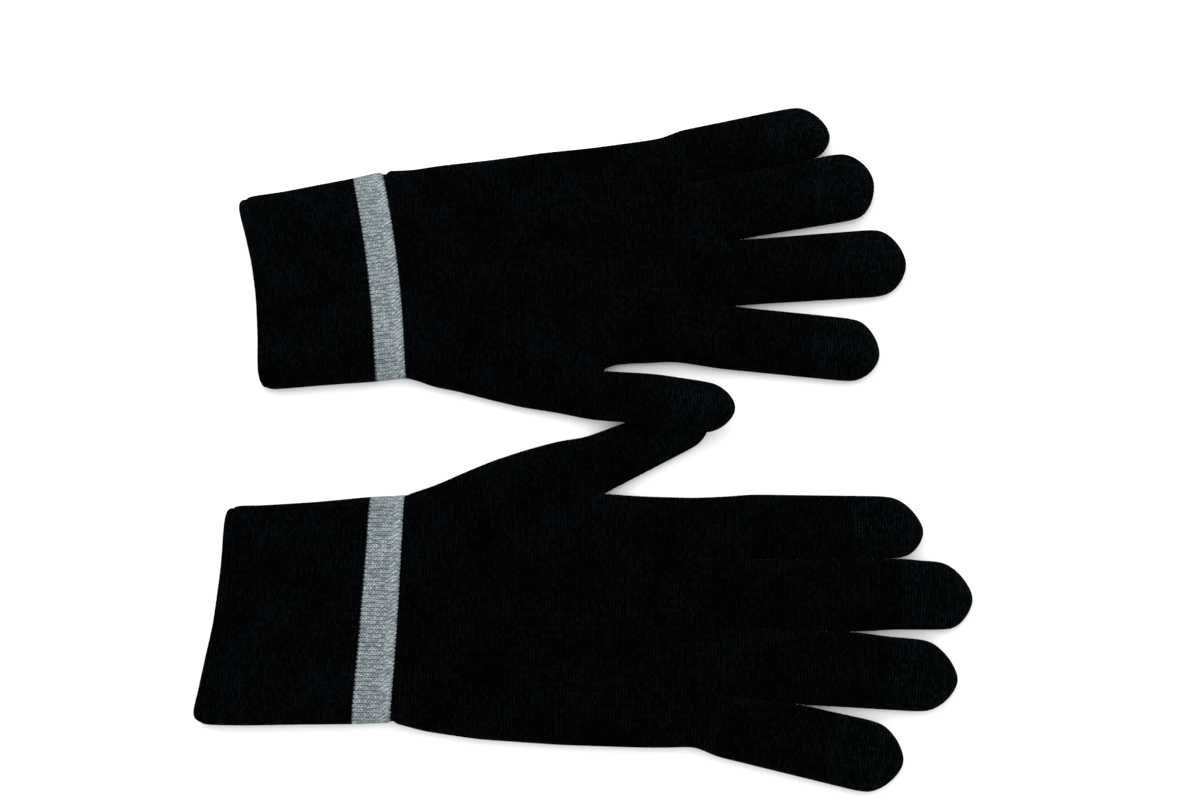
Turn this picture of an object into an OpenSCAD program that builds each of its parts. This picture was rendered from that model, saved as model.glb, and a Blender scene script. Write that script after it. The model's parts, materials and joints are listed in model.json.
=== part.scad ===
// Pair of touchscreen gloves, knitted flat, lying palms up with the fingers towards +X.
// The right glove lies on the +Y side and the left glove, its mirror image, on the -Y side.
// Each glove is drawn in a frame of its own: wrist centre at the origin, fingers towards +X,
// thumb on the -Y side, underside at z = 0. Digits curl about the top edge of their base.

/* [Fabric] */
// Thickness of one layer of plain knit
ply = 1.1; // [0.9:0.1:1.2]
// Outside height of the hand as it lies
hand_h = 8.6; // [8.2:0.1:10]
// Outside height of the finger tubes
finger_h = 7.6; // [7.2:0.1:8.2]
// Outside height of the left thumb, pressed flatter by the right thumb on top of it
flat_thumb_h = 6.6; // [6.5:0.1:6.8]

/* [Cuff] */
// Width across the wrist, where the cuff is linked to the hand
wrist_w = 78; // [74:1:80]
// Width across the cuff's mouth
mouth_w = 71; // [66:1:74]
// Height of the double cuff
cuff_h = 9.2; // [9:0.1:10]
// Length of the right cuff, stripe included
right_cuff_len = 50; // [44:1:60]
// Length of the left cuff, stripe included
left_cuff_len = 61; // [50:1:62]
// Length of the grey stripe
stripe_len = 11; // [8:1:14]
// Length of the linked seam between the stripe and the hand
seam_len = 1.6; // [1.2:0.1:2]

/* [Digits] */
// Width of both thumbs
thumb_w = 19; // [18:0.5:19.5]
// Length of a finger's conductive tip, its round end included
tip_len = 24; // [22:1:26]
// Length of the right thumb's conductive tip
thumb_tip_len = 25; // [24:0.5:26]
// Slope of the right thumb, where it climbs onto the left thumb
climb = 18; // [18:0.5:20]
// Outside height of the right thumb's sloping tube
climb_h = 8; // [7.8:0.1:8.4]

/* [Hidden] */
$fn = 48;
RIGHT = 0;
LEFT = 1;
THUMB = 0;
SIDES = [RIGHT, LEFT];
DIGITS = [0, 1, 2, 3, 4];
SIDE_NAME = ["right", "left"];
DIGIT_NAME = ["thumb", "index_finger", "middle_finger", "ring_finger", "little_finger"];

// Clearance between two pieces that move against each other
gap = 0.3;
// Free width left between neighbouring fingers at their bases
web = 1.0;
// Far enough past a face to cut it cleanly
past = 4;

// Where each glove's wrist centre lies, and which way its wrist points
wrist_at = [[-71.2, 56.5], [-65.7, -62.7]];
wrist_turn = [8, 1.5];
cuff_len = [right_cuff_len, left_cuff_len];
// How far the mouth's middle lies to the little finger's side of the wrist's middle
mouth_shift = [0, 4];

// Thumb's inner corner on the hand, and the directions, widths, lengths and set-backs of the
// digits from the thumb to the little finger. A set-back moves a base towards the wrist.
crotch = [[75.5, -34.5], [70, -39.5]];
index_corner = [[118.5, -36.5], [122, -38.5]];
aim = [[-9, -7.5, 4, 10.5, 12], [-20.5, 0, 2.5, 6, 14]];
width = [[thumb_w, 24, 24.5, 24, 21.5], [thumb_w, 21.5, 22.5, 22.5, 20]];
reach = [[47, 55, 63, 58, 55], [45, 59, 72, 68, 61]];
set_back = [0, 3, 0, 1, 9];
// Points on the hand's edge beside the thumb's root and beside the little finger's root
gusset_edge = [[24, -43.5], [12, -41.5]];
outer_edge = [[52, 48.5], [55, 44]];

function along(a) = [cos(a), sin(a)];
function across(a) = [-sin(a), cos(a)];
function pitch(s, d) = width[s][d] + web;

// Corner where a finger's place on the hand begins, before its set-back, counted from the index finger
function corner(s, d) =
    d == 1 ? index_corner[s] : corner(s, d - 1) + pitch(s, d - 1) * across(aim[s][d - 1]);
function base_start(s, d) =
    d == THUMB ? crotch[s] - pitch(s, d) * across(aim[s][d])
               : corner(s, d) - set_back[d] * along(aim[s][d]);
function base_end(s, d) =
    d == THUMB ? crotch[s] : base_start(s, d) + pitch(s, d) * across(aim[s][d]);
function base_middle(s, d) = (base_start(s, d) + base_end(s, d)) / 2;

function tip_of(s, d) = (s == RIGHT && d == THUMB) ? thumb_tip_len : tip_len;
function tube_of(s, d) = reach[s][d] - tip_of(s, d);
function height_of(s, d) = (s == LEFT && d == THUMB) ? flat_thumb_h : finger_h;
// Height at which the right thumb's tip lies level on the left thumb
tip_rise = tube_of(RIGHT, THUMB) * tan(climb);

// Half width of the cuff on one side (-1 or 1), at a distance back from the wrist
function cuff_edge(s, side, back) =
    let (part = back / cuff_len[s])
    side * (wrist_w / 2 * (1 - part) + mouth_w / 2 * part) + mouth_shift[s] * part;

module placed(s) {
    translate([wrist_at[s].x, wrist_at[s].y, 0])
        mirror([0, s == LEFT ? 1 : 0, 0])
            children();
}

module at_base(s, d) {
    middle = base_middle(s, d);
    translate([middle.x, middle.y, 0])
        rotate([0, 0, aim[s][d]])
            children();
}

// Flat oval section standing on y = 0
module oval(w, h) {
    translate([-(w - h) / 2, 0])
        square([w - h, h]);
    for (side = [-1, 1])
        translate([side * (w - h) / 2, h / 2])
            circle(d = h);
}

module oval_bar(from, to, w, h) {
    translate([from, 0, 0])
        rotate([90, 0, 90])
            linear_extrude(to - from)
                oval(w, h);
}

// Flat disc with a round edge, the half that lies on the +X side
module half_disc(r, h) {
    rotate([0, 0, -90])
        rotate_extrude(angle = 180) {
            square([r - h / 2, h]);
            translate([r - h / 2, h / 2])
                intersection() {
                    circle(d = h);
                    translate([0, -h / 2])
                        square([h / 2, h]);
                }
        }
}

module oval_tube(from, to, w, h) {
    difference() {
        oval_bar(from, to, w, h);
        translate([0, 0, ply])
            oval_bar(from - past, to + past, w - 2 * ply, h - 2 * ply);
    }
}

module closed_tip(from, to, w, h) {
    neck = to - w / 2;
    difference() {
        union() {
            oval_bar(from, neck, w, h);
            translate([neck, 0, 0])
                half_disc(w / 2, h);
        }
        translate([0, 0, ply])
            oval_bar(from - past, neck, w - 2 * ply, h - 2 * ply);
        translate([neck, 0, ply])
            half_disc(w / 2 - ply, h - 2 * ply);
    }
}

// Stretch of the cuff between two distances back from the wrist, inset from its edges
module cuff_block(s, from, to, inset, h) {
    rotate([0, 0, wrist_turn[s]])
        linear_extrude(h)
            polygon([
                [-from, cuff_edge(s, -1, from) + inset],
                [-from, cuff_edge(s, 1, from) - inset],
                [-to, cuff_edge(s, 1, to) - inset],
                [-to, cuff_edge(s, -1, to) + inset]
            ]);
}

// Open band with walls from an outer inset to an inner one
module cuff_band(s, from, to, outer, inner) {
    difference() {
        translate([0, 0, outer])
            cuff_block(s, from, to, outer, cuff_h - 2 * outer);
        translate([0, 0, inner])
            cuff_block(s, from - past, to + past, inner, cuff_h - 2 * inner);
    }
}

module hand_outline(s) {
    wrist_side = wrist_w / 2 * across(wrist_turn[s]);
    polygon([
        -wrist_side,
        gusset_edge[s],
        for (d = DIGITS) each [base_start(s, d), base_end(s, d)],
        outer_edge[s],
        wrist_side
    ]);
}

module cuff(s) {
    color("#101417")
        placed(s)
            cuff_band(s, seam_len + stripe_len, cuff_len[s], 0, ply);
}

module cuff_facing(s) {
    color("#15191c")
        placed(s)
            cuff_band(s, seam_len, cuff_len[s] - ply, ply, 2 * ply);
}

module stripe(s) {
    color("#8a979c")
        placed(s)
            cuff_band(s, seam_len, seam_len + stripe_len, 0, ply);
}

module linking_seam(s) {
    color("#0c0f11")
        placed(s)
            difference() {
                cuff_block(s, gap, seam_len, 0, hand_h);
                translate([0, 0, 1.6 * ply])
                    cuff_block(s, -past, seam_len + past, 1.6 * ply, hand_h - 3.2 * ply);
            }
}

module hand(s) {
    inner_h = hand_h - 2 * ply;
    color("#0e1215")
        placed(s)
            difference() {
                linear_extrude(hand_h)
                    hand_outline(s);
                translate([0, 0, ply]) {
                    linear_extrude(inner_h)
                        offset(delta = -ply)
                            hand_outline(s);
                    rotate([0, 0, wrist_turn[s]])
                        translate([-past, 2 * ply - wrist_w / 2, 0])
                            cube([2 * past, wrist_w - 4 * ply, inner_h]);
                    for (d = DIGITS)
                        at_base(s, d)
                            translate([-past, ply - width[s][d] / 2, 0])
                                cube([2 * past, width[s][d] - 2 * ply, inner_h]);
                }
            }
}

// Sloping tube of the right thumb, with both ends cut upright
module climbing_tube() {
    run = tube_of(RIGHT, THUMB);
    w = thumb_w;
    intersection() {
        rotate([0, -climb, 0])
            oval_tube(-past, run / cos(climb) + past, w, climb_h);
        translate([gap, -w, -past])
            cube([run - gap, 2 * w, 4 * climb_h]);
    }
}

module digit(s, d) {
    color("#0e1215")
        placed(s)
            at_base(s, d)
                if (s == RIGHT && d == THUMB)
                    climbing_tube();
                else
                    oval_tube(gap, tube_of(s, d), width[s][d], height_of(s, d));
}

module digit_tip(s, d) {
    rise = (s == RIGHT && d == THUMB) ? tip_rise : 0;
    color("#161d20")
        placed(s)
            at_base(s, d)
                translate([0, 0, rise])
                    closed_tip(tube_of(s, d) + gap, reach[s][d], width[s][d], height_of(s, d));
}

for (s = SIDES) {
    side = SIDE_NAME[s];
    cuff(s);
    cuff_facing(s);
    stripe(s);
    linking_seam(s);
    hand(s);
    for (d = DIGITS) {
        digit(s, d);
        digit_tip(s, d);
    }
}
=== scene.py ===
"""Pair of knitted touchscreen gloves lying palms up, the right thumb on top of the left one.

Each glove is drawn in its own plan frame, in millimetres: wrist centre at the origin, fingers towards
+X, thumb on the -Y side. One outline per glove is filled with triangles, raised into a soft flat tube,
and cut into pieces along the lines where the CAD bodies meet, so that neighbouring pieces share edges.
"""

import json
import math

import bpy
import numpy as np
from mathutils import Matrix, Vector
from mathutils.geometry import delaunay_2d_cdt


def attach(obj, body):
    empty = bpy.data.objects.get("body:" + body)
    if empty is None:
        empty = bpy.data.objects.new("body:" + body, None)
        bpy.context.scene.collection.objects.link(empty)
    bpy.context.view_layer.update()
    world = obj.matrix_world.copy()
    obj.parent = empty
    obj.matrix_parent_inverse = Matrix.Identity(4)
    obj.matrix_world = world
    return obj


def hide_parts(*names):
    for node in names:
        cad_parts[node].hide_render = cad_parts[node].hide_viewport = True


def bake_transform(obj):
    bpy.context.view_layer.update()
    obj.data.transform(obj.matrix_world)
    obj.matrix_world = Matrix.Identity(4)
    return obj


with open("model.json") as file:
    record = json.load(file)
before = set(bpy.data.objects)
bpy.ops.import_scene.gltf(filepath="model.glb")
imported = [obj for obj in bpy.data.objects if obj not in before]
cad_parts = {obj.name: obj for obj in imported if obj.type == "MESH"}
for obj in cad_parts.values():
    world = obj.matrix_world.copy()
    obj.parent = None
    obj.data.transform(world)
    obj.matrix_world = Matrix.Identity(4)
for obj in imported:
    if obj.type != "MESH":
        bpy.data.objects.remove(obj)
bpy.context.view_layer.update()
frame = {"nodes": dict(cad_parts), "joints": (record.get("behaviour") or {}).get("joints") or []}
joints = {joint["name"]: joint for joint in frame["joints"]}

DIGITS = ("thumb", "index_finger", "middle_finger", "ring_finger", "little_finger")
MIRROR = {"right": 1, "left": -1}

# --- Sizes, in millimetres ---

JOINT_GAP = 0.3  # CAD clearance at each digit's base
STEP = 0.8  # between outline points
GRID = 1.25  # between surface points
RINGS = (0.35, 0.9, 1.7, 2.7)  # finer rows of points next to the rim, as distances from it
RING_STRIDES = (1, 1, 1, 2)  # steps along the outline between two points of each row
RING_CLEAR = (0.9, 0.4)  # share of its distance that a row keeps from all of the rim, distance from cuts
GRID_CLEAR = (0.6, 0.55)  # shares of the grid that it keeps from the last row and from cuts
GRID_ROWS = 0.866  # of the grid, between its rows of equal triangles
SAME_POINT = 1e-5
DIGIT_MARGIN = 6  # round a digit, in which a triangle can still be its own
WRIST_MARGIN = 5  # on the hand, in which a triangle can still be the seam's
FAR = 1000  # out of reach of anything on a glove
PLY = 1.1  # one layer of knit
FACING_PLY = 0.85  # the layer folded to the inside
SHORT = 0.8  # by which the facing's edge stays inside the rolled mouth
SLIT = 0.06  # between fingers that touch
CLOSED = {"right": (0.4, 0.4, 0.4), "left": (2.2, 1.7, 0.3)}  # widest gaps that close, from the index on
CLOSING_FADE = 0.8  # of further gap, over which the closing fades out
WALE = 1.45  # width of one column of stitches
COURSE = 1.02  # height of one stitch
LEG_MIDDLE = 0.22  # of a column's width, from the column's middle to the middle of a leg
LEAN = 0.7  # slant of the linking, the same way round on both gloves
LINK = 1.45  # between the slanted stitches of the linking
NOSE_POWER = {"right": 1.7, "left": 1.57}  # 2 is an ellipse; less gives flatter shoulders
NOSE_POINTS = 25
SECOND_STATION = 0.75  # of a digit's length, where its second offset and half width are given
SEAM = (-1.2, -0.5)  # linked seam, as distances back from the wrist
SEAM_MIDDLE = sum(SEAM) / 2
STRIPE_END = {"right": (10.4, 11.0), "left": (11.6, 12.6)}  # at the thumb's side, at the other side
ARCH = {"right": 1.7, "left": 0.5}  # how far the middle of the stripe is drawn towards the hand
ARCH_SPAN = 39  # from the middle of the wrist to where the arch ends
NOTCH = {"right": (0.15, 1.2), "left": (0.3, 0.8)}  # how deep the seam pulls in the thumb's side, the other
SEAM_REACH = 1.1  # how far along the cloth the seam pulls it in
SEAM_DIP = 0.55  # how deep the seam lies in the top
HAND_HEIGHT = 7.4
CUFF_HEIGHT = 7.8
FINGER_HEIGHT = 6.6
PRESSED_HEIGHT = 5.8  # left thumb, under the right one
THUMB_LIFT = 6.4  # right thumb, on top of the left one
ROOF_REACH = 9.5  # from the rim to where the top is level
FLOOR_REACH = 3.2  # from the rim to where the underside is level
ROOF_RISE = 4.6  # usual rise from the rim to the level top
FLOOR_RISE = 2.4  # usual fall from the rim to the level underside
RIM_HEIGHT = (2.3, 3.1)  # on the hand and the digits, on the cuff
ROLL_STEPS = 6  # round the rolled mouth
ROLL_STEP = 0.5  # of cloth between them
ROLL_OVERLAP = 0.3  # by which the cuff's inside stops short of its outside at the rolled mouth
WRIST_BEND = 13  # lengths of cloth over which each bend is spread
BASE_BEND = 15
LONGEST_BEND = 0.65  # of a digit's tube
TIP_BEND = 12

CROTCH_DEPTH = 0.25  # from the fingers' first points to the bottom of the gap between them
THUMB_CROTCH_DEPTH = 0.6

EASE_PASSES = 22  # in which the outline's corners are rounded
HEIGHT_PASSES = 6  # in which ridges in the top are evened out

# How far the outline's points may relax when its corners are rounded (1 is fully)
NOSE_EASE = 0.35
THUMB_CROTCH_EASE = 0.05
PINNED = 3  # points that stay sharp on each side of a crotch

# Per digit: sideways offset of the centre line at the base and at the second station, half widths at the
# same places, sideways offset of the round nose, how far back the nose begins on the thumb's side and on
# the other side, whole length
SHAPES = {
    "right": {
        "thumb": (-0.35, -0.5, 9.15, 9.3, 0.3, (9.7, 10.2), 47.3),
        "index_finger": (1.15, 2.15, 11.9, 11.85, 1.4, (9.9, 9.9), 55.7),
        "middle_finger": (0.8, 1.05, 12.4, 12.95, 0.7, (10.6, 9.8), 63.2),
        "ring_finger": (0.7, 1.2, 12.5, 13.3, 2.2, (9.6, 10.2), 58.4),
        "little_finger": (0.1, 0.35, 10.7, 10.95, -1.3, (9.0, 10.4), 55.1),
    },
    "left": {
        "thumb": (-0.7, -3.05, 10.6, 8.55, -3.2, (9.5, 9.5), 44.1),
        "index_finger": (-0.45, -0.6, 11.45, 10.7, 0.8, (11.2, 7.0), 59.8),
        "middle_finger": (-0.2, -2.2, 11.9, 11.8, -1.9, (11.4, 8.4), 72.6),
        "ring_finger": (0.2, -1.85, 12.4, 12.15, -1.7, (11.8, 11.0), 68.8),
        "little_finger": (-0.65, -1.45, 11.25, 11.75, -2.2, (10.8, 10.8), 61.8),
    },
}

# Points along the hand's edges, from the wrist to the thumb, from the thumb to the index finger, and
# from the little finger back to the wrist
HAND_EDGES = {
    "right": (
        [(15.5, -41.3), (22.9, -42.6), (33.8, -45.6), (45.8, -48.6), (60.0, -50.9)],
        [(77.8, -32.9), (86.7, -32.4), (92.0, -32.3), (99.4, -31.7), (108.0, -33.0)],
        [(97.0, 55.2), (88.0, 53.6), (70.0, 51.0), (52.0, 49.0), (32.0, 45.9), (13.4, 43.7), (5.0, 42.1)],
    ),
    "left": (
        [(4.0, -39.7), (11.0, -42.1), (19.5, -46.1), (31.0, -51.1), (42.5, -55.0), (54.2, -58.3)],
        [(83.3, -38.4), (100.7, -37.9), (114.0, -38.5)],
        [(100.0, 46.3), (92.0, 46.7), (82.0, 46.7), (55.0, 45.8), (28.1, 44.0), (9.7, 41.3)],
    ),
}

# Points along the cuff as (distance back from the wrist, sideways): its thumb side and its little
# finger side from the wrist to the mouth, and the mouth from the little finger side to the thumb side
CUFF_EDGES = {
    "right": (
        [(SEAM[0], -38.4), (10.6, -38.3), (25.0, -37.3), (49.6, -36.0)],
        [(SEAM[0], 41.9), (2.0, 41.6), (10.6, 40.5), (37.0, 38.6), (51.0, 38.4)],
        [(52.0, 35.0), (50.2, 24.0), (48.5, 11.0), (47.9, -3.0), (48.6, -19.0), (49.8, -31.0)],
    ),
    "left": (
        [(SEAM[0], -38.7), (11.6, -37.8), (30.0, -35.5), (50.0, -33.7), (59.1, -33.6)],
        [(SEAM[0], 38.6), (11.6, 39.5), (27.0, 40.0), (48.0, 40.9), (63.3, 41.0)],
        [(64.2, 37.5), (62.6, 33.0), (61.4, 23.0), (59.5, 9.0), (58.7, -13.0), (59.2, -29.0)],
    ),
}

# Soft folds along the hand: sideways place at the wrist and 100 mm on, height and half width
FOLDS = {
    "right": [(23.0, 20.0, 0.75, 5.5), (38.0, 33.0, -0.5, 4.5), (-14.0, -4.0, 0.45, 8.0)],
    "left": [(18.0, 8.0, 0.5, 7.0), (-20.0, -12.0, 0.45, 6.5), (0.0, 0.0, -0.35, 5.0)],
}


def ramp(value, start, end):
    """Smooth rise from 0 at the start value to 1 at the end value."""
    x = np.clip((value - start) / (end - start), 0, 1)
    return x * x * (3 - 2 * x)


def bulge(q):
    """Height of a quarter round, from 0 at its foot (q = 0) to 1 where it is level (q = 1)."""
    return np.sqrt(1 - (1 - np.clip(q, 0, 1)) ** 2)


def direction(angle):
    return np.array([math.cos(angle), math.sin(angle)])


def left_of(vector):
    return np.array([-vector[1], vector[0]])


# --- Frames taken from the CAD ---


class Digit:
    """Centre line and side curves of one digit. s is the distance along it from its base."""

    def __init__(self, glove, name):
        self.name = name
        tube, tip = (glove.plan_points(f"{glove.side}_{name}{end}") for end in ("", "_tip"))
        both = np.vstack([tube, tip])
        turns = np.radians(np.arange(-40, 40.05, 0.1))
        turn = min(turns, key=lambda a: np.ptp(both @ left_of(direction(a))))
        self.along = direction(turn)
        self.across = left_of(self.along)
        start = (tube @ self.along).min() - JOINT_GAP
        sideways = both @ self.across
        self.base = self.along * start + self.across * (sideways.min() + sideways.max()) / 2
        self.tube = (tube @ self.along).max() - start
        (
            self.offset,
            self.offset_on,
            self.half,
            self.half_on,
            self.nose,
            self.nose_depths,
            self.length,
        ) = SHAPES[glove.side][name]
        self.power = NOSE_POWER[glove.side]

    def locate(self, points):
        """(distance along, sideways) of plan points."""
        relative = np.asarray(points) - self.base
        return relative @ self.along, relative @ self.across

    def nose_depth(self, side):
        return self.nose_depths[int(side > 0)]

    def shoulder(self, side):
        """Distance along at which a side turns into the round nose."""
        return self.length - self.nose_depth(side)

    def edge(self, s, side):
        """Sideways place of one side (-1 is the thumb's side, 1 the other) at a distance along."""
        shoulder = self.shoulder(side)
        share = np.minimum(s, shoulder) / (SECOND_STATION * self.length)
        centre = self.offset + (self.offset_on - self.offset) * share
        half = self.half + (self.half_on - self.half) * share
        t = np.clip((s - shoulder) / self.nose_depth(side), 0, 1)
        narrowing = (1 - t**self.power) ** (1 / self.power)
        return centre + (self.nose - centre) * t * t + side * half * narrowing

    def point(self, s, side):
        sideways = self.edge(np.asarray(s, float), side)
        return self.base + np.outer(s, self.along) + np.outer(sideways, self.across)

    def nose_points(self):
        """Points round the nose, from the thumb's side to the other side."""
        angles = np.linspace(-90, 90, NOSE_POINTS + 2)[1:-1]
        sides = np.where(angles < 0, -1, 1)
        shares = np.abs(np.cos(np.radians(angles))) ** (2 / self.power)
        rows = []
        for share, side in zip(shares, sides):
            rows.append(self.point([self.shoulder(side) + self.nose_depth(side) * share], side))
        return np.vstack(rows)


class Glove:
    """Plan frame of one glove, with its digits."""

    def __init__(self, side):
        self.side = side
        self.mirror = MIRROR[side]
        fold = joints[f"{side}_wrist_fold"]
        axis = fold["axis"]
        forward = np.array([axis[1], -axis[0]])
        self.origin = np.array(fold["pos_m"][:2]) + forward * JOINT_GAP / 2000
        self.wrist_along = forward * (1, self.mirror)
        self.wrist_across = left_of(self.wrist_along)
        self.digits = [Digit(self, name) for name in DIGITS]

    def plan_points(self, node):
        world = np.array([v.co[:2] for v in frame["nodes"][node].data.vertices])
        return (world - self.origin) * (1000, 1000 * self.mirror)

    def to_world(self, points):
        """Plan points with heights, in millimetres, to the row frame in metres."""
        scaled = np.asarray(points, float) * (0.001, 0.001 * self.mirror, 0.001)
        return scaled + (*self.origin, 0)

    def arch(self, sideways):
        """How far the seam and the stripe lie towards the hand, at a sideways place."""
        return ARCH[self.side] * np.maximum(0, 1 - (sideways / ARCH_SPAN) ** 2)

    def behind_wrist(self, back, sideways):
        return sideways * self.wrist_across - back * self.wrist_along


# --- Outline ---


def resample(points):
    """Points along a polyline about a step apart, its first one included and its last one left out."""
    points = np.asarray(points, float)
    rows = []
    for a, b in zip(points, points[1:]):
        count = max(1, round(np.linalg.norm(b - a) / STEP))
        rows.append(a + (b - a) * np.arange(count)[:, None] / count)
    return np.vstack(rows)


def lay_against(points, neighbour, side, closed):
    """Moves one side of a finger half the way needed for it to touch its neighbour and not cross it."""
    s, sideways = neighbour.locate(points)
    apart = side * (neighbour.edge(s, -side) - sideways)
    wide = closed + CLOSING_FADE
    wanted = np.where(apart > wide, apart, np.interp(apart, [closed, wide], [SLIT, wide]))
    return points - np.outer(side * (wanted - apart) / 2, neighbour.across)


def side_points(digit, side, start, neighbour, closed):
    """One side of a digit, from start to its shoulder, with the row numbers of its base and its tip."""
    reach = [0, digit.tube, digit.shoulder(side)]
    if start < -0.1:
        reach.insert(0, start)
    stations = resample([(s, 0) for s in reach])[:, 0]
    points = digit.point(stations, side)
    if neighbour:
        points = lay_against(points, neighbour, side, closed)
    return points, int(np.argmin(abs(stations))), int(np.argmin(abs(stations - digit.tube)))


class Outline:
    """Closed outline of a glove, anticlockwise, with the row numbers of its named points."""

    def __init__(self, glove):
        self.glove = glove
        self.rows, self.names, self.ease = [], {}, []
        to_thumb, to_index, to_wrist = HAND_EDGES[glove.side]
        thumb_edge, little_edge, mouth = (
            [glove.behind_wrist(*place) for place in edge] for edge in CUFF_EDGES[glove.side]
        )
        thumb, little = glove.digits[0], glove.digits[-1]
        self.add(resample([thumb_edge[0], *to_thumb, thumb.point([0], -1)[0]]), [("wrist -", 0)])
        self.add_digits(to_index)
        self.add(resample([little.point([0], 1)[0], *to_wrist, little_edge[0]])[1:])
        self.add_cuff_side(little_edge, "+")
        self.names["mouth +"] = len(self.ease)
        self.add(resample([little_edge[-1], *mouth]))
        self.add(resample([mouth[-1], thumb_edge[-1]]))
        self.add_cuff_side(thumb_edge, "-")

    def add(self, points, marks=(), ease=1.0):
        for name, row in marks:
            self.names[name] = len(self.ease) + row
        self.rows.append(points)
        self.ease.extend([ease] * len(points))

    def pin(self, first, ease=0.0):
        """Keeps a few points sharp, from a row number on."""
        self.ease[first : first + PINNED] = [ease] * PINNED

    def pin_last(self, ease=0.0):
        self.pin(len(self.ease) - PINNED, ease)

    def add_digits(self, to_index):
        """All digits from the thumb on, with the hand's edge between the thumb and the index finger."""
        digits = self.glove.digits
        closed = (0, *CLOSED[self.glove.side], 0)
        start = 0.0
        for number, digit in enumerate(digits):
            before = digits[number - 1] if number > 1 else None
            after = digits[number + 1] if 0 < number < len(digits) - 1 else None
            first = len(self.ease)
            points, base, tip = side_points(digit, -1, start, before, closed[number - 1])
            self.add(points, [(f"{digit.name} base -", base), (f"{digit.name} tip -", tip)])
            if before:
                self.pin(first)
            self.add(digit.nose_points(), ease=NOSE_EASE)
            end, start = 0.0, 0.0
            if after:
                end = min(0.0, float(digit.locate(after.point([0], -1)[0])[0]))
                start = min(0.0, float(after.locate(digit.point([0], 1)[0])[0]))
            points, base, tip = side_points(digit, 1, end, after, closed[number])
            tip, base = len(points) - 1 - tip, len(points) - 1 - base
            self.add(points[::-1], [(f"{digit.name} tip +", tip), (f"{digit.name} base +", base)])
            if after:
                opposite = side_points(after, -1, start, digit, closed[number])[0][0]
                bottom = (points[0] + opposite) / 2 - CROTCH_DEPTH * digit.along
                self.pin_last()
                self.add(bottom[None], ease=0.0)
            elif number == 0:
                self.pin_last(THUMB_CROTCH_EASE)
                first = len(self.ease)
                crotch = points[0] - THUMB_CROTCH_DEPTH * digit.along
                self.add(resample([crotch, *to_index, digits[1].point([0], -1)[0]]))
                self.pin(first, THUMB_CROTCH_EASE)

    def add_cuff_side(self, edge, mark):
        """One side of the cuff: the little finger's (+) to the mouth, or the thumb's (-) back from it."""
        back_again = mark == "-"
        along = self.glove.wrist_along
        distances = [-(np.array(point) @ along) for point in edge]
        stops = sorted([*distances, SEAM[1]], reverse=back_again)
        line = np.column_stack([np.interp(stops, distances, axis) for axis in np.transpose(edge)])
        points = resample(line)
        back = -(points @ along)
        stripe_end = STRIPE_END[self.glove.side][mark == "+"]
        marks = [
            (f"seam {mark}", int(np.argmin(abs(back - SEAM[1])))),
            (f"stripe {mark}", int(np.argmin(abs(back - stripe_end)))),
            ("mouth -" if back_again else "wrist +", 0),
        ]
        self.add(points, marks)

    def eased(self):
        """The outline's points, rounded where they may relax, and pulled in at the seam."""
        points = np.vstack(self.rows)
        ease = np.array(self.ease)[:, None]
        for _ in range(EASE_PASSES):
            middle = (np.roll(points, 1, 0) + np.roll(points, -1, 0)) / 2
            points += (middle - points) * 0.5 * ease
        back = -(points @ self.glove.wrist_along)
        sideways = points @ self.glove.wrist_across
        depth = np.where(sideways < 0, *NOTCH[self.glove.side])
        pull = depth * np.exp(-(((back - SEAM_MIDDLE) / SEAM_REACH) ** 2)) * np.sign(sideways)
        return points - np.outer(pull, self.glove.wrist_across)


# --- Distances in the plan ---

CHUNK = 1500  # points measured at a time, to keep the arrays small


def nearest_on(points, starts, ends):
    """Distance from each point to the nearest of some segments, and the nearest place on them."""
    distance = np.empty(len(points))
    place = np.empty((len(points), 2))
    run = ends - starts
    squared = np.maximum((run**2).sum(1), 1e-12)
    for low in range(0, len(points), CHUNK):
        chunk = points[low : low + CHUNK]
        relative = chunk[:, None] - starts[None]
        share = np.clip((relative * run).sum(2) / squared, 0, 1)
        offset = relative - share[..., None] * run
        gaps = (offset**2).sum(2)
        best = gaps.argmin(1)
        rows = np.arange(len(chunk))
        distance[low : low + CHUNK] = np.sqrt(gaps[rows, best])
        place[low : low + CHUNK] = chunk - offset[rows, best]
    return distance, place


def inside(points, outline):
    x, y = points[:, 0][:, None], points[:, 1][:, None]
    ax, ay = outline.T
    bx, by = np.roll(outline, -1, 0).T
    crosses = (ay > y) != (by > y)
    rise = np.where(by == ay, 1, by - ay)
    return (crosses & (x < (bx - ax) * (y - ay) / rise + ax)).sum(1) % 2 == 1


def cut_points(a, b):
    """Points between the two ends of a cut, closer together next to the rim."""
    length = np.linalg.norm(b - a)
    near = np.array(RINGS)
    count = max(2, round((length - 2 * near[-1]) / GRID))
    level = np.linspace(near[-1], length - near[-1], count + 1)[1:-1]
    stations = np.concatenate([near, level, (length - near)[::-1]])
    return a + (b - a) * stations[:, None] / length


# --- Surface of one glove ---


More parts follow.
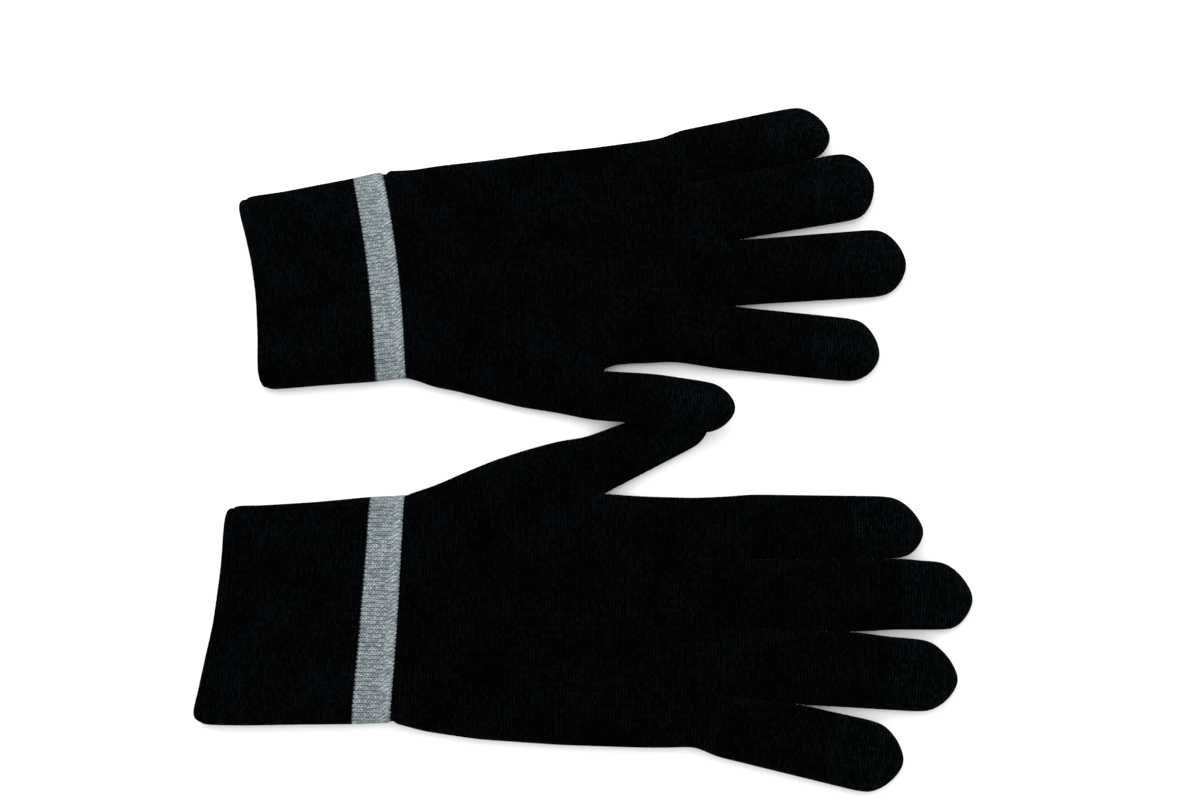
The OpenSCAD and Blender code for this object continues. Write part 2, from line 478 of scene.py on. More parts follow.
class Surface:
    """Outer surface of a glove: plan triangles raised into a top and an underside that share the rim."""

    def __init__(self, glove):
        self.glove = glove
        drawn = Outline(glove)
        self.outline = drawn.eased()
        self.names = drawn.names
        self.cuts = self.list_cuts()
        self.triangulate()
        self.mark_regions()
        self.repair_regions()
        self.raise_surface()

    def list_cuts(self):
        keys = ["wrist", "seam", "stripe"]
        keys += [f"{digit.name} {end}" for digit in self.glove.digits for end in ("base", "tip")]
        return {key: (self.names[f"{key} -"], self.names[f"{key} +"]) for key in keys}

    def cut_line(self, key):
        """Points between the two ends of a cut, arched towards the hand at the wrist."""
        glove = self.glove
        a, b = (self.outline[i] for i in self.cuts[key])
        points = cut_points(a, b)
        if key in ("wrist", "seam", "stripe"):
            points += np.outer(glove.arch(points @ glove.wrist_across), glove.wrist_along)
        return points

    def triangulate(self):
        """Fills the outline with triangles that follow the cuts, and grow smaller towards the rim."""
        outline = self.outline
        count = len(outline)
        following = np.roll(np.arange(count), -1)
        self.is_mouth_edge = np.zeros(count, bool)
        self.is_mouth_edge[self.names["mouth +"] : self.names["mouth -"]] = True
        rim = ~self.is_mouth_edge
        self.rim_from, self.rim_to = outline[rim], outline[following[rim]]
        points = [outline]
        self.cut_edges = []
        self.cut_from, self.cut_to = [outline[~rim]], [outline[following[~rim]]]
        total = count
        for key, (a, b) in self.cuts.items():
            between = self.cut_line(key)
            chain = [a, *range(total, total + len(between)), b]
            self.cut_edges += zip(chain, chain[1:])
            points.append(between)
            total += len(between)
            line = np.vstack([outline[a], between, outline[b]])
            self.cut_from.append(line[:-1])
            self.cut_to.append(line[1:])
        self.cut_from, self.cut_to = np.vstack(self.cut_from), np.vstack(self.cut_to)
        flat = np.vstack([*points, *self.ring_points(), self.grid_points()])
        edges = [*((i, int(following[i])) for i in range(count)), *self.cut_edges]
        plan, _, faces, *_ = delaunay_2d_cdt([Vector(p) for p in flat], edges, [], 1, SAME_POINT)
        if len(plan) != len(flat):
            raise RuntimeError(f"the outline of the {self.glove.side} glove crosses itself")
        self.plan = np.array([tuple(p) for p in plan])
        self.triangles = np.array([tuple(f) for f in faces])
        a, b, c = (self.plan[self.triangles[:, k]] for k in range(3))
        turned = ((b - a) * (c - a)[:, ::-1] * (1, -1)).sum(1) < 0
        self.triangles[turned] = self.triangles[turned][:, ::-1]

    def ring_points(self):
        """Rows of points that follow the rim."""
        outline = self.outline
        tangent = np.roll(outline, -1, 0) - np.roll(outline, 1, 0)
        inward = np.array([left_of(t) for t in tangent / np.linalg.norm(tangent, axis=1)[:, None]])
        for offset, stride in zip(RINGS, RING_STRIDES):
            ring = (outline + inward * offset)[::stride]
            yield self.keep(ring, RING_CLEAR[0] * offset, RING_CLEAR[1])

    def grid_points(self):
        """Even points over the rest of the plan."""
        low, high = self.outline.min(0), self.outline.max(0)
        xs = np.arange(low[0], high[0], GRID)
        ys = np.arange(low[1], high[1], GRID * GRID_ROWS)
        grid = np.array([(x + (GRID / 2 if row % 2 else 0), y) for row, y in enumerate(ys) for x in xs])
        return self.keep(grid, RINGS[-1] + GRID_CLEAR[0] * GRID, GRID_CLEAR[1] * GRID)

    def keep(self, points, from_rim, from_cuts):
        """The points inside the outline that lie far enough from the rim and from the cuts."""
        points = points[inside(points, self.outline)]
        to_rim, _ = nearest_on(points, self.rim_from, self.rim_to)
        to_cuts, _ = nearest_on(points, self.cut_from, self.cut_to)
        return points[(to_rim > from_rim) & (to_cuts > from_cuts)]

    def mark_regions(self):
        """Names every triangle's piece from where its middle lies between the cuts."""
        glove = self.glove
        middle = self.plan[self.triangles].mean(1)

        def beyond(key, points):
            a, b = (self.outline[i] for i in self.cuts[key])
            run = b - a
            return (points[:, 0] - a[0]) * run[1] - (points[:, 1] - a[1]) * run[0] > 0

        region = np.full(len(middle), "hand", dtype=object)
        for digit in glove.digits:
            s, sideways = digit.locate(middle)
            mine = (s > -DIGIT_MARGIN) & (np.abs(sideways) < digit.half + DIGIT_MARGIN)
            for other in glove.digits:
                if other is not digit:
                    t, across = other.locate(middle)
                    mine &= ~((np.abs(across) < np.abs(sideways)) & (t > 0))
            mine &= beyond(f"{digit.name} base", middle)
            region[mine] = digit.name
            region[mine & beyond(f"{digit.name} tip", middle)] = digit.name + "_tip"
        straight = middle - np.outer(glove.arch(middle @ glove.wrist_across), glove.wrist_along)
        rear = -(straight @ glove.wrist_along) > -WRIST_MARGIN
        for key, name in (("wrist", "linking_seam"), ("seam", "stripe"), ("stripe", "cuff")):
            region[rear & ~beyond(key, straight)] = name
        self.region = region

    def repair_regions(self):
        """Gives each patch between the cuts the name that most of its triangles have."""
        fixed = {(min(a, b), max(a, b)) for a, b in self.cut_edges}
        owner = {}
        neighbours = [[] for _ in self.triangles]
        for number, triangle in enumerate(self.triangles):
            for k in range(3):
                a, b = int(triangle[k]), int(triangle[(k + 1) % 3])
                edge = (min(a, b), max(a, b))
                if edge in fixed:
                    continue
                if edge in owner:
                    other = owner[edge]
                    neighbours[number].append(other)
                    neighbours[other].append(number)
                else:
                    owner[edge] = number
        seen = np.zeros(len(self.triangles), bool)
        for first in range(len(self.triangles)):
            if seen[first]:
                continue
            seen[first] = True
            patch = [first]
            for number in patch:
                for other in neighbours[number]:
                    if not seen[other]:
                        seen[other] = True
                        patch.append(other)
            labels, counts = np.unique(self.region[patch].astype(str), return_counts=True)
            self.region[patch] = labels[counts.argmax()]

    def raise_surface(self):
        """Joins the top and the underside along the rim, and finds the normals of the whole surface."""
        top, bottom = self.heights()
        count = len(self.plan)
        on_rim = np.zeros(count, bool)
        on_rim[: len(self.outline)] = ~(self.is_mouth_edge & np.roll(self.is_mouth_edge, 1))
        below = np.where(~on_rim)[0]
        lower = np.where(on_rim, np.arange(count), count + np.cumsum(~on_rim) - 1)
        self.plan_row = np.concatenate([np.arange(count), below])
        self.points = np.column_stack([self.plan[self.plan_row], np.concatenate([top, bottom[below]])])
        self.faces = np.vstack([self.triangles, lower[self.triangles][:, ::-1]])
        self.face_region = np.concatenate([self.region, self.region])
        self.face_is_top = np.arange(len(self.faces)) < len(self.triangles)
        a, b, c = (self.points[self.faces[:, k]] for k in range(3))
        facing = np.cross(b - a, c - a)
        normals = np.zeros_like(self.points)
        for k in range(3):
            np.add.at(normals, self.faces[:, k], facing)
        self.normals = normals / np.linalg.norm(normals, axis=1)[:, None]

    def heights(self):
        """Heights of the top and of the underside at every plan point."""
        glove, plan = self.glove, self.plan
        self.rim_distance, self.rim_place = nearest_on(plan, self.rim_from, self.rim_to)
        back = -(plan @ glove.wrist_along)
        height = HAND_HEIGHT + (CUFF_HEIGHT - HAND_HEIGHT) * ramp(back, -4, 10)
        lift = np.zeros(len(plan))
        for digit in glove.digits:
            is_thumb = digit.name == "thumb"
            level = PRESSED_HEIGHT if is_thumb and glove.side == "left" else FINGER_HEIGHT
            s = self.distance_along(digit)
            height += (level - HAND_HEIGHT) * ramp(s, -8, 10)
            if is_thumb and glove.side == "right":
                lift = THUMB_LIFT * ramp(s, -8, 22)
        rim_height = RIM_HEIGHT[0] + (RIM_HEIGHT[1] - RIM_HEIGHT[0]) * ramp(back, -15, 5)
        roof = bulge(self.rim_distance / ROOF_REACH)
        top = rim_height + (height - rim_height + self.waves()) * roof
        from_seam = back + glove.arch(plan @ glove.wrist_across) - SEAM_MIDDLE
        top -= SEAM_DIP * np.exp(-((from_seam / SEAM_REACH) ** 2)) * roof
        top = self.relax_heights(top)
        bottom = rim_height * (1 - bulge(self.rim_distance / FLOOR_REACH))
        return top + lift, bottom + lift

    def on_mouth(self):
        """Which plan points lie on the cuff's mouth."""
        rows = np.zeros(len(self.plan), bool)
        rows[: len(self.outline)] = self.is_mouth_edge | np.roll(self.is_mouth_edge, 1)
        return rows

    def distance_along(self, digit):
        """Distance along a digit on the digit itself, and minus the distance to its base on the hand."""
        a, b = (self.outline[i] for i in self.cuts[f"{digit.name} base"])
        to_base, _ = nearest_on(self.plan, a[None], b[None])
        region = self.region.astype(str)
        mine = np.isin(region, [digit.name, digit.name + "_tip"])
        on_mine, on_other = np.zeros(len(self.plan), bool), np.zeros(len(self.plan), bool)
        on_mine[self.triangles[mine].ravel()] = True
        on_other[self.triangles[~mine & (region != "hand")].ravel()] = True
        s, _ = digit.locate(self.plan)
        reach = np.where(on_mine, np.maximum(s, to_base * 0.5), -to_base)
        return np.where(on_other & ~on_mine, -FAR, reach)

    def waves(self):
        """Slow unevenness of cloth that lies loosely, with the hand's soft folds."""
        x, y = self.plan.T
        phase = 0.0 if self.glove.side == "right" else 2.1
        waves = (
            0.22 * np.sin(x / 9.5 + 0.6 * np.sin(y / 11) + phase)
            + 0.20 * np.sin(y / 7.3 + x / 23 + 1.3 * phase)
            + 0.13 * np.sin((x + y) / 5.1 + 2 * phase)
        )
        along_hand = ramp(x, -4, 14) * ramp(x, 118, 73)
        for start_y, end_y, height, width in FOLDS[self.glove.side]:
            middle = start_y + (end_y - start_y) * x / 100
            waves += height * along_hand * np.exp(-(((y - middle) / width) ** 2))
        return waves

    def relax_heights(self, top):
        """Evens out the ridges that the nearest-edge distance leaves at corners."""
        pairs = np.vstack([self.triangles[:, [k, (k + 1) % 3]] for k in range(3)])
        pairs = np.unique(np.sort(pairs, 1), axis=0)
        a, b = pairs.T
        share = ramp(self.rim_distance, 1.0, 3.5) * 0.8
        count = np.bincount(a, minlength=len(top)) + np.bincount(b, minlength=len(top))
        for _ in range(HEIGHT_PASSES):
            total = np.bincount(a, top[b], len(top)) + np.bincount(b, top[a], len(top))
            top = top + (total / np.maximum(count, 1) - top) * share
        return top


# --- Pieces cut from a surface ---


def knit_axes(glove, region):
    """Origin, direction across the wales and direction along them, for a piece's knit coordinates."""
    for digit in glove.digits:
        if region.startswith(digit.name):
            return digit.base, digit.across, digit.along
    if region == "hand":
        return np.zeros(2), np.array([0.0, 1.0]), np.array([1.0, 0.0])
    return np.zeros(2), glove.wrist_across, glove.wrist_along


def arc_excess(distance, reach, rise):
    """How much longer the curved surface is than its plan, from near the rim to the level part."""
    q = np.linspace(0, 1, 200)
    step = np.hypot(np.diff(q) * reach, np.diff(bulge(q)) * rise)
    length = np.concatenate([np.cumsum(step[::-1])[::-1], [0]])
    return np.interp(distance / reach, q, length - (1 - q) * reach)


def knit_coordinates(surface, region, corners, is_top):
    """Across and along the wales, in millimetres, following the surface round its edges."""
    origin, across, along = knit_axes(surface.glove, region)
    rows = surface.plan_row[corners]
    plan = surface.plan[rows]
    distance = surface.rim_distance[rows]
    outward = surface.rim_place[rows] - plan
    outward /= np.maximum(np.linalg.norm(outward, axis=-1, keepdims=True), 1e-6)
    above = arc_excess(distance, ROOF_REACH, ROOF_RISE)
    below = arc_excess(distance, FLOOR_REACH, FLOOR_RISE)
    extra = np.where(is_top[..., None], above, below)
    spread = plan + outward * extra[..., None] - origin
    sideways, forward = spread @ across, spread @ along
    if region in ("linking_seam", "stripe", "cuff"):
        forward = forward - surface.glove.arch(sideways)
    return np.stack([sideways, forward], -1)


def boundary(faces):
    """Edges that only one face has, in that face's direction."""
    directed = {}
    for a, b, c in faces.tolist():
        for edge in ((a, b), (b, c), (c, a)):
            directed[edge] = True
    return [(a, b) for a, b in directed if (b, a) not in directed]


class Shell:
    """Closed shell over the named regions of a surface, between two depths under it. ends says what
    happens at the cuff's mouth: "rolled" turns the edge in over the facing, "short" stops it inside."""

    def __init__(self, surface, regions, outer=0.0, inner=PLY, ends=None):
        self.surface, self.glove, self.regions = surface, surface.glove, regions
        self.chosen = np.isin(surface.face_region.astype(str), regions)
        self.rows = surface.faces[self.chosen]
        used, local = np.unique(self.rows, return_inverse=True)
        self.local = local.reshape(self.rows.shape)
        self.base, self.normals = surface.points[used], surface.normals[used]
        self.count = len(used)
        self.open_edges = boundary(self.local)
        self.rolled = {}
        outside = self.base - self.normals * outer
        inside = self.base - self.normals * inner
        self.points = [outside, inside]
        at_mouth = surface.on_mouth()[surface.plan_row[used]]
        forward = np.array([*self.glove.wrist_along, 0.0])
        if ends == "short":
            outside[at_mouth] += forward * SHORT
            inside[at_mouth] += forward * SHORT
        elif ends == "rolled":
            inside[at_mouth] += forward * ROLL_OVERLAP
            self.roll_mouth(np.where(at_mouth)[0].tolist(), forward)
        self.faces = self.list_faces()

    def roll_mouth(self, at_mouth, forward):
        """Half round from the outer surface to the inner face of the facing, at every mouth point."""
        deep = PLY + FACING_PLY
        total = 2 * self.count
        for row in at_mouth:
            low = self.base[row] - self.normals[row] * deep
            middle, radius = (self.base[row] + low) / 2, (self.base[row] - low) / 2
            for k in range(1, ROLL_STEPS + 1):
                angle = math.pi * k / ROLL_STEPS
                place = middle + radius * math.cos(angle) - forward * (deep / 2) * math.sin(angle)
                self.points.append(place[None])
            self.rolled[row] = [row, *range(total, total + ROLL_STEPS), row + self.count]
            total += ROLL_STEPS

    def list_faces(self):
        """The outside, the inside, and the walls that join their open edges."""
        count = self.count
        outside = [tuple(face) for face in self.local.tolist()]
        inside = [(c + count, b + count, a + count) for a, b, c in outside]
        walls = []
        for a, b in self.open_edges:
            if a in self.rolled and b in self.rolled:
                first, second = self.rolled[a], self.rolled[b]
                for k in range(len(first) - 1):
                    walls.append((second[k], first[k], first[k + 1], second[k + 1]))
            else:
                walls.append((b, a, a + count, b + count))
        faces = [*outside, *inside, *walls]
        return [face[::-1] for face in faces] if self.glove.mirror < 0 else faces

    def knit_uv(self):
        """Knit coordinates of every corner, in the order of the faces."""
        surface, count = self.surface, self.count
        region_of = surface.face_region[self.chosen]
        is_top = surface.face_is_top[self.chosen]
        corners = np.zeros((*self.local.shape, 2))
        for region in self.regions:
            mine = region_of == region
            corners[mine] = knit_coordinates(surface, region, self.rows[mine], is_top[mine])
        of_point = np.zeros((2 * count + ROLL_STEPS * len(self.rolled), 2))
        of_point[self.local.ravel()] = corners.reshape(-1, 2)
        of_point[count : 2 * count] = of_point[:count]
        for row, chain in self.rolled.items():
            for k, rolled_row in enumerate(chain[1:-1], 1):
                of_point[rolled_row] = of_point[row] + (0, -ROLL_STEP * k)
        turned = corners[:, ::-1]
        both = (turned, corners) if self.glove.mirror < 0 else (corners, turned)
        walls = [of_point[list(face)] for face in self.faces[2 * len(self.local) :]]
        return np.vstack([*(side.reshape(-1, 2) for side in both), *walls])

    def mark_sharp_cuts(self, mesh):
        """Keeps the shading of the piece's surface free of the narrow walls at its cuts."""
        cuts = set()
        for a, b in self.open_edges:
            if not (a in self.rolled and b in self.rolled):
                cuts.add(frozenset((a, b)))
            cuts.add(frozenset((a + self.count, b + self.count)))
        for edge in mesh.edges:
            if frozenset(edge.vertices) in cuts:
                edge.use_edge_sharp = True

    def to_object(self, name):
        mesh = bpy.data.meshes.new(name)
        points = self.glove.to_world(np.vstack(self.points))
        mesh.from_pydata([tuple(point) for point in points], [], self.faces)
        uv = mesh.uv_layers.new(name="knit")
        uv.data.foreach_set("uv", self.knit_uv().astype(np.float32).ravel())
        mesh.update()
        mesh.shade_smooth()
        self.mark_sharp_cuts(mesh)
        obj = bpy.data.objects.new(name, mesh)
        bpy.context.scene.collection.objects.link(obj)
        return obj


# --- Materials ---


class Nodes:
    """Short ways to add shader nodes to one material."""

    def __init__(self, name):
        self.material = bpy.data.materials.new(name)
        self.material.use_nodes = True
        self.tree = self.material.node_tree
        self.shader = self.tree.nodes["Principled BSDF"]

    def node(self, kind, **settings):
        made = self.tree.nodes.new(kind)
        for key, value in settings.items():
            setattr(made, key, value)
        return made

    def feed(self, socket, value):
        if isinstance(value, bpy.types.NodeSocket):
            self.tree.links.new(value, socket)
        else:
            socket.default_value = value

    def math(self, operation, *values, clamp=False):
        made = self.node("ShaderNodeMath", operation=operation, use_clamp=clamp)
        for socket, value in zip(made.inputs, values):
            self.feed(socket, value)
        return made.outputs[0]

    def plus(self, a, b):
        return self.math("ADD", a, b)

    def minus(self, a, b, clamp=False):
        return self.math("SUBTRACT", a, b, clamp=clamp)

    def times(self, a, b, clamp=False):
        return self.math("MULTIPLY", a, b, clamp=clamp)

    def noise(self, vector, scale, detail=2.0, roughness=0.5):
        made = self.node("ShaderNodeTexNoise")
        self.feed(made.inputs["Vector"], vector)
        made.inputs["Scale"].default_value = scale
        made.inputs["Detail"].default_value = detail
        made.inputs["Roughness"].default_value = roughness
        return made.outputs["Fac"]

    def combine(self, x, y):
        made = self.node("ShaderNodeCombineXYZ")
        for socket, value in zip(made.inputs, (x, y)):
            self.feed(socket, value)
        return made.outputs[0]

    def span(self, value, low, high, to_low=0.0, to_high=1.0):
        made = self.node("ShaderNodeMapRange")
        for socket, number in zip(made.inputs, (value, low, high, to_low, to_high)):
            self.feed(socket, number)
        return made.outputs[0]

    def mix(self, data_type, kind, share, first, second):
        made = self.node("ShaderNodeMix", data_type=data_type)
        for key, value in (("Factor_Float", share), (f"A_{kind}", first), (f"B_{kind}", second)):
            self.feed(next(s for s in made.inputs if s.identifier == key), value)
        return next(s for s in made.outputs if s.identifier == f"Result_{kind}")

    def blend(self, share, first, second):
        """Mix of two colours."""
        return self.mix("RGBA", "Color", share, first, second)

    def choose(self, share, first, second):
        """Mix of two values."""
        return self.mix("FLOAT", "Float", share, first, second)


def stitches(n, course=COURSE, slope=1.7, ridge=0.7, valley=0.6, legs=2.0):
    """Plain knit seen from its right side: columns of small slanted legs. slope is how much the legs
    slant, ridge how deep the rows are, valley how wide the columns' valleys are. Gives the knit
    coordinates (as a vector, across, along), the height of the yarn, a random value for each leg
    (legs = 2) or stitch (legs = 1), and the fibres."""
    coordinate = n.node("ShaderNodeUVMap", uv_map="knit").outputs[0]
    parts = n.node("ShaderNodeSeparateXYZ")
    n.feed(parts.inputs[0], coordinate)
    u, v = parts.outputs[0], parts.outputs[1]
    sway = n.times(n.minus(n.noise(coordinate, 0.35), 0.5), 0.9)
    column = n.math("DIVIDE", n.plus(u, sway), WALE)
    aside = n.math("ABSOLUTE", n.minus(n.math("FRACT", column), 0.5))
    inner = n.times(n.minus(LEG_MIDDLE, aside), 3.0)
    outer = n.times(n.minus(aside, LEG_MIDDLE), 3.6)
    leg = n.math("MAXIMUM", inner, outer)
    round_leg = n.minus(1.0, n.times(leg, leg), clamp=True)
    rows = n.math("DIVIDE", n.plus(v, n.times(sway, 0.6)), course)
    row = n.plus(rows, n.times(aside, slope))
    wave = n.math("ABSOLUTE", n.math("SINE", n.times(row, math.pi)))
    crest = n.plus(1.0 - ridge, n.times(wave, ridge))
    height = n.times(n.math("POWER", round_leg, valley), crest)
    cell = n.combine(n.math("FLOOR", n.times(column, legs)), n.math("FLOOR", row))
    random = n.node("ShaderNodeTexWhiteNoise", noise_dimensions="2D")
    n.feed(random.inputs["Vector"], cell)
    fibres = n.noise(n.combine(n.times(u, 6.0), n.times(v, 2.2)), 1.6, 3.0, 0.65)
    return coordinate, u, v, height, random.outputs["Value"], fibres


YARN_RELIEF = 0.0004  # metres


def finish_cloth(n, colour, height, roughness, sheen, tint):
    shader = n.shader
    n.feed(shader.inputs["Base Color"], colour)
    shader.inputs["Roughness"].default_value = roughness
    shader.inputs["Specular IOR Level"].default_value = 0.0
    shader.inputs["Sheen Weight"].default_value = sheen
    shader.inputs["Sheen Roughness"].default_value = 0.45
    n.feed(shader.inputs["Sheen Tint"], tint)
    bump = n.node("ShaderNodeBump")
    bump.inputs["Strength"].default_value = 1.0
    bump.inputs["Distance"].default_value = YARN_RELIEF
    n.feed(bump.inputs["Height"], height)
    n.feed(shader.inputs["Normal"], bump.outputs[0])
    return n.material


def black_knit(name, light, course=COURSE, sheen=0.018):
    """Black yarn whose rows show more than its columns. light is the colour of the raised yarn; the gaps
    between the stitches are painted black, as painted shade.
    """
    n = Nodes(name)
    rows = {"slope": 0.8, "ridge": 0.95, "valley": 0.25, "legs": 1.0}
    coordinate, _, _, height, random, fibres = stitches(n, course, **rows)
    raised = n.span(height, 0.35, 0.98, 0.0, 1.15)
    lighter = n.times(random, random)
    uneven = n.times(n.span(lighter, 0, 1, 0.4, 1.7), n.span(fibres, 0.35, 0.7, 0.35, 1.2))
    slow = n.span(n.noise(coordinate, 0.05, 2.0), 0.3, 0.7, 0.4, 1.5)
    # share: painted shade in the gaps between the stitches, from the yarn's height, times the yarn's random
    # tone
    share = n.times(n.times(raised, uneven), slow, clamp=True)
    colour = n.blend(share, (0, 0, 0, 1), (*light, 1))
    # The sheen's tint is darkened in the same gaps: painted shade on the sheen
    fuzz_tint_with_painted_gap_shade = n.blend(share, (0.08, 0.11, 0.13, 1), (0.8, 0.95, 1.0, 1))
    bumps = n.plus(height, n.times(fibres, 0.3))
    return finish_cloth(n, colour, bumps, 0.95, sheen, fuzz_tint_with_painted_gap_shade)


def linking(n, coordinate, u, v, lean):
    """Row of stitches that lean over: the position across them, in stitches, and their height."""
    drift = n.times(n.noise(coordinate, 0.6), 1.3)
    slant = n.plus(n.math("DIVIDE", n.plus(u, n.times(v, lean)), LINK), drift)
    wave = n.math("ABSOLUTE", n.math("SINE", n.times(slant, math.pi)))
    return slant, n.math("POWER", wave, 0.8)


def teeth(n, turns, depth):
    """Sawtooth that rises and falls once a turn."""
    return n.times(n.math("ABSOLUTE", n.minus(n.math("FRACT", turns), 0.5)), depth)


def stripe_knit(name, ends, lean):
    """Grey heather knit. Next to the hand the legs turn into the slanted stitches of the linking, and
    both edges mesh with the black yarn as small teeth."""
    n = Nodes(name)
    coordinate, u, v, height, random, fibres = stitches(n)
    slant, link = linking(n, coordinate, u, v, lean)
    near_hand = n.span(n.plus(v, n.times(n.noise(coordinate, 0.8), 1.6)), -3.0, -1.6)
    edge = n.span(v, -1.2, -0.4, 1.0, 0.3)
    uneven = n.span(n.noise(coordinate, 0.45), 0.35, 0.65, 0.35, 0.85)
    depth = n.times(n.times(near_hand, edge), uneven)
    raised = n.choose(depth, n.span(height, 0.1, 0.9), n.span(link, 0.1, 0.75, 0.0, 0.9))
    heather = n.plus(n.times(fibres, 0.55), n.times(random, 0.45))
    pale = n.blend(n.span(heather, 0.25, 0.75), (0.141, 0.174, 0.189, 1), (0.405, 0.458, 0.475, 1))
    # The gaps between the stitches and the grooves of the linking are painted dark grey: painted shade in
    # the knit's recesses, on top of the heather's own tones
    grey = n.blend(raised, (0.026, 0.035, 0.04, 1), pale)
    wisps = n.noise(n.combine(n.times(u, 3.5), n.times(v, 0.8)), 1.0, 3.0, 0.6)
    ragged = n.times(wisps, 1.6)
    cuff_teeth = n.plus(teeth(n, n.math("DIVIDE", u, WALE), 0.8), ragged)
    hand_teeth = n.plus(teeth(n, slant, 0.9), ragged)
    end = n.span(u, -ARCH_SPAN, ARCH_SPAN, *ends)
    from_cuff = n.minus(n.plus(v, end), cuff_teeth)
    from_hand = n.minus(n.minus(-SEAM[1], v), hand_teeth)
    inside_both = n.times(n.span(from_cuff, -0.7, -0.2), n.span(from_hand, -0.9, -0.5))
    colour = n.blend(inside_both, (0.001, 0.0013, 0.0016, 1), grey)
    bumps = n.plus(raised, n.times(fibres, 0.4))
    return finish_cloth(n, colour, bumps, 0.9, 0.08, (0.9, 0.95, 1.0, 1))


def seam_yarn(name, lean):
    """Chain of slanted black stitches along the wrist."""
    n = Nodes(name)
    coordinate, u, v, _, _, fibres = stitches(n)
    _, link = linking(n, coordinate, u, v, lean)
    # The grooves between the slanted stitches are painted black: painted shade
    colour = n.blend(n.times(link, fibres), (0, 0, 0, 1), (0.002, 0.0025, 0.003, 1))
    bumps = n.plus(link, n.times(fibres, 0.3))
    return finish_cloth(n, colour, bumps, 0.95, 0.01, (0.7, 0.9, 1.0, 1))


MATERIALS = {
    "black_knit": black_knit("black_knit", (0.0020, 0.0027, 0.0035)),
    "cuff_knit": black_knit("cuff_knit", (0.0023, 0.0032, 0.0041), course=0.98),
    "facing_knit": black_knit("facing_knit", (0.0018, 0.0024, 0.0030)),
    # The tips are knit of conductive yarn; their lighter colour is painted highlight of the light on the
    # curved fingertips
    "conductive_knit": black_knit("conductive_knit", (0.0031, 0.0047, 0.0055), sheen=0.028),
}


def put_on(obj, node, slot, material):
    """Gives a piece its material, and hides the CAD node it stands for."""
    obj.data.materials.append(material)
    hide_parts(node)


def bend_towards(obj, glove, start, end):
    """Bakes a piece's placement into its mesh; it does not make the piece follow any body, and start and
    end have no effect.
    """
    points = glove.to_world([(*start, 0), (*end, 0)])
    Vector(points[0])
    Vector(points[1])
    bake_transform(obj)


# --- Both gloves ---


def build_wrist(glove, surface):
    """Seam, stripe, cuff and facing, each a shell with its own material."""
    side = glove.side
    grey = stripe_knit(f"{side}_grey_stripe_knit", STRIPE_END[side], -LEAN * glove.mirror)
    chain = seam_yarn(f"{side}_seam_yarn", -LEAN * glove.mirror)
    cuff, facing = MATERIALS["cuff_knit"], MATERIALS["facing_knit"]
    fold_start = glove.behind_wrist(SEAM[0], 0)
    fold_end = glove.behind_wrist(WRIST_BEND, 0)
    for part, regions, slot, material, depths, ends in (
        ("linking_seam", ["linking_seam"], "seam_yarn", chain, (0, PLY), None),
        ("stripe", ["stripe"], "grey_stripe_knit", grey, (0, PLY), None),
        ("cuff", ["cuff"], "cuff_knit", cuff, (0, PLY), "rolled"),
        ("cuff_facing", ["stripe", "cuff"], "facing_knit", facing, (PLY, PLY + FACING_PLY), "short"),
    ):
        obj = Shell(surface, regions, *depths, ends).to_object(f"{side}_{part}_knit")
        put_on(obj, f"{side}_{part}", slot, material)
        bend_towards(obj, glove, fold_start, fold_end)


def build_digit(glove, surface, digit):
    side = glove.side
    tube = Shell(surface, [digit.name]).to_object(f"{side}_{digit.name}_knit")
    tip = Shell(surface, [digit.name + "_tip"]).to_object(f"{side}_{digit.name}_tip_knit")
    put_on(tube, f"{side}_{digit.name}", "black_knit", MATERIALS["black_knit"])
    # Tip material: conductive yarn, with painted highlight in its lighter colour
    put_on(tip, f"{side}_{digit.name}_tip", "conductive_knit", MATERIALS["conductive_knit"])
    bend_end = digit.base + digit.along * min(BASE_BEND, LONGEST_BEND * digit.tube)
    bend_towards(tube, glove, digit.base, bend_end)
    if side == "left" and digit.name == "thumb":
        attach(tip, "left_thumb")
        return
    start = digit.base + digit.along * digit.tube
    bend_end = start + digit.along * TIP_BEND
    bend_towards(tip, glove, start, bend_end)


def build_glove(side):
    glove = Glove(side)
    surface = Surface(glove)
    hand = Shell(surface, ["hand"]).to_object(f"{side}_hand_knit")
    put_on(hand, f"{side}_hand", "black_knit", MATERIALS["black_knit"])
    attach(hand, f"{side}_hand")
    build_wrist(glove, surface)
    for digit in glove.digits:
        build_digit(glove, surface, digit)


build_glove("right")
build_glove("left")

# --- Table, light and camera, in metres ---

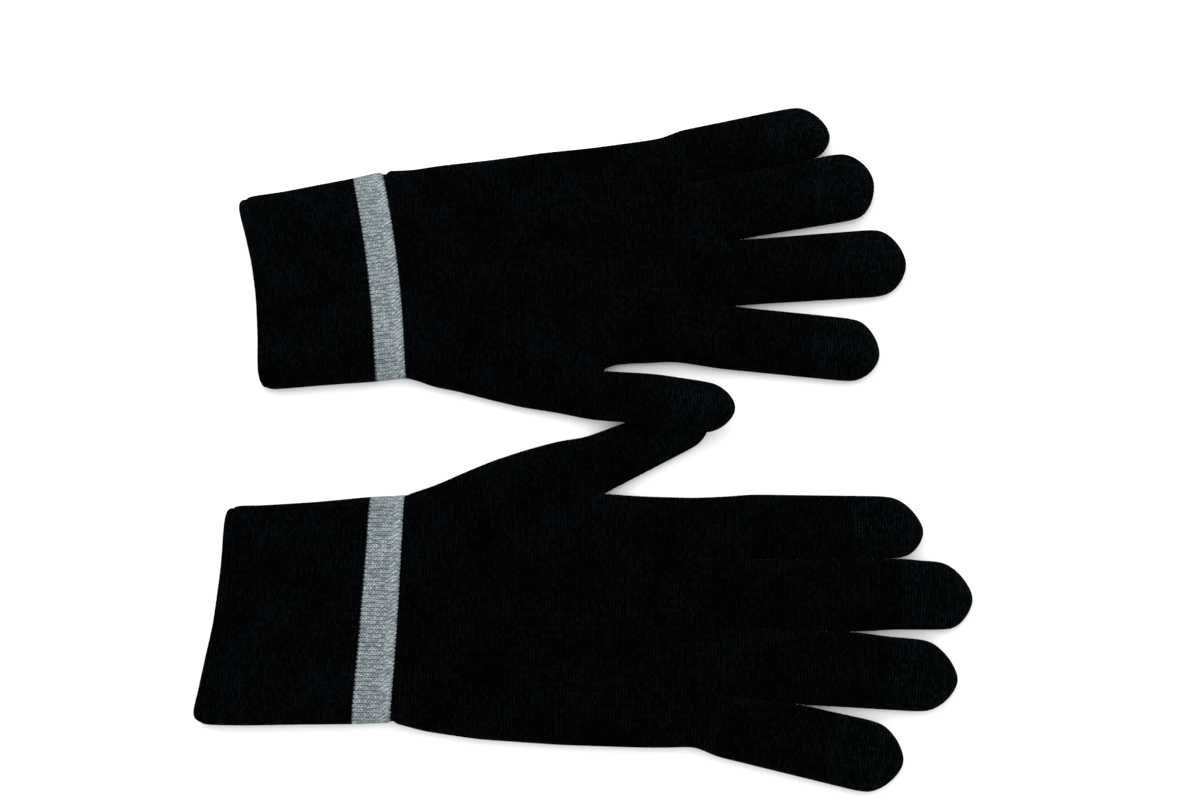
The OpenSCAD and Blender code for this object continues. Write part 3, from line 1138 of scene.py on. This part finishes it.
TABLE_HALF = 6
TABLE_GAP = 0.0004
WORLD_LIGHT = 1.45
LENS = 51.3  # millimetres, on a sensor 36 mm wide
AIM = Vector((0.0023, 0.0113, 0))
DISTANCE = 0.6
ELEVATION = math.radians(72)


def area_light(name, place, target, size, power, colour):
    light = bpy.data.lights.new(name, "AREA")
    light.shape = "RECTANGLE"
    light.size, light.size_y = size
    light.energy = power
    light.color = colour
    obj = bpy.data.objects.new(name, light)
    obj.location = place
    obj.rotation_euler = (Vector(target) - Vector(place)).to_track_quat("-Z", "Y").to_euler()
    bpy.context.scene.collection.objects.link(obj)


table = bpy.data.meshes.new("table")
corners = [(-TABLE_HALF, -TABLE_HALF, 0), (TABLE_HALF, -TABLE_HALF, 0)]
corners += [(TABLE_HALF, TABLE_HALF, 0), (-TABLE_HALF, TABLE_HALF, 0)]
table.from_pydata(corners, [], [(0, 1, 2, 3)])
table_object = bpy.data.objects.new("table", table)
table_object.location.z = -TABLE_GAP
bpy.context.scene.collection.objects.link(table_object)
white = Nodes("table_white")
white.shader.inputs["Base Color"].default_value = (0.93, 0.93, 0.93, 1)
white.shader.inputs["Roughness"].default_value = 0.9
white.shader.inputs["Specular IOR Level"].default_value = 0.0
table.materials.append(white.material)

world = bpy.data.worlds.new("studio")
world.use_nodes = True
world.node_tree.nodes["Background"].inputs[0].default_value = (1, 1, 1, 1)
world.node_tree.nodes["Background"].inputs[1].default_value = WORLD_LIGHT
bpy.context.scene.world = world
area_light("window", (-0.25, 0.5, 0.45), (0, 0.02, 0), (0.6, 0.4), 2.4, (0.96, 0.98, 1.0))

camera = bpy.data.cameras.new("camera")
camera.lens = LENS
camera.sensor_width = 36
camera.clip_start = 0.05
camera_object = bpy.data.objects.new("camera", camera)
camera_object.location = AIM + DISTANCE * Vector((0, -math.cos(ELEVATION), math.sin(ELEVATION)))
camera_object.rotation_euler = (math.pi / 2 - ELEVATION, 0, 0)
bpy.context.scene.collection.objects.link(camera_object)
bpy.context.scene.camera = camera_object
bpy.context.scene.view_settings.view_transform = "Standard"
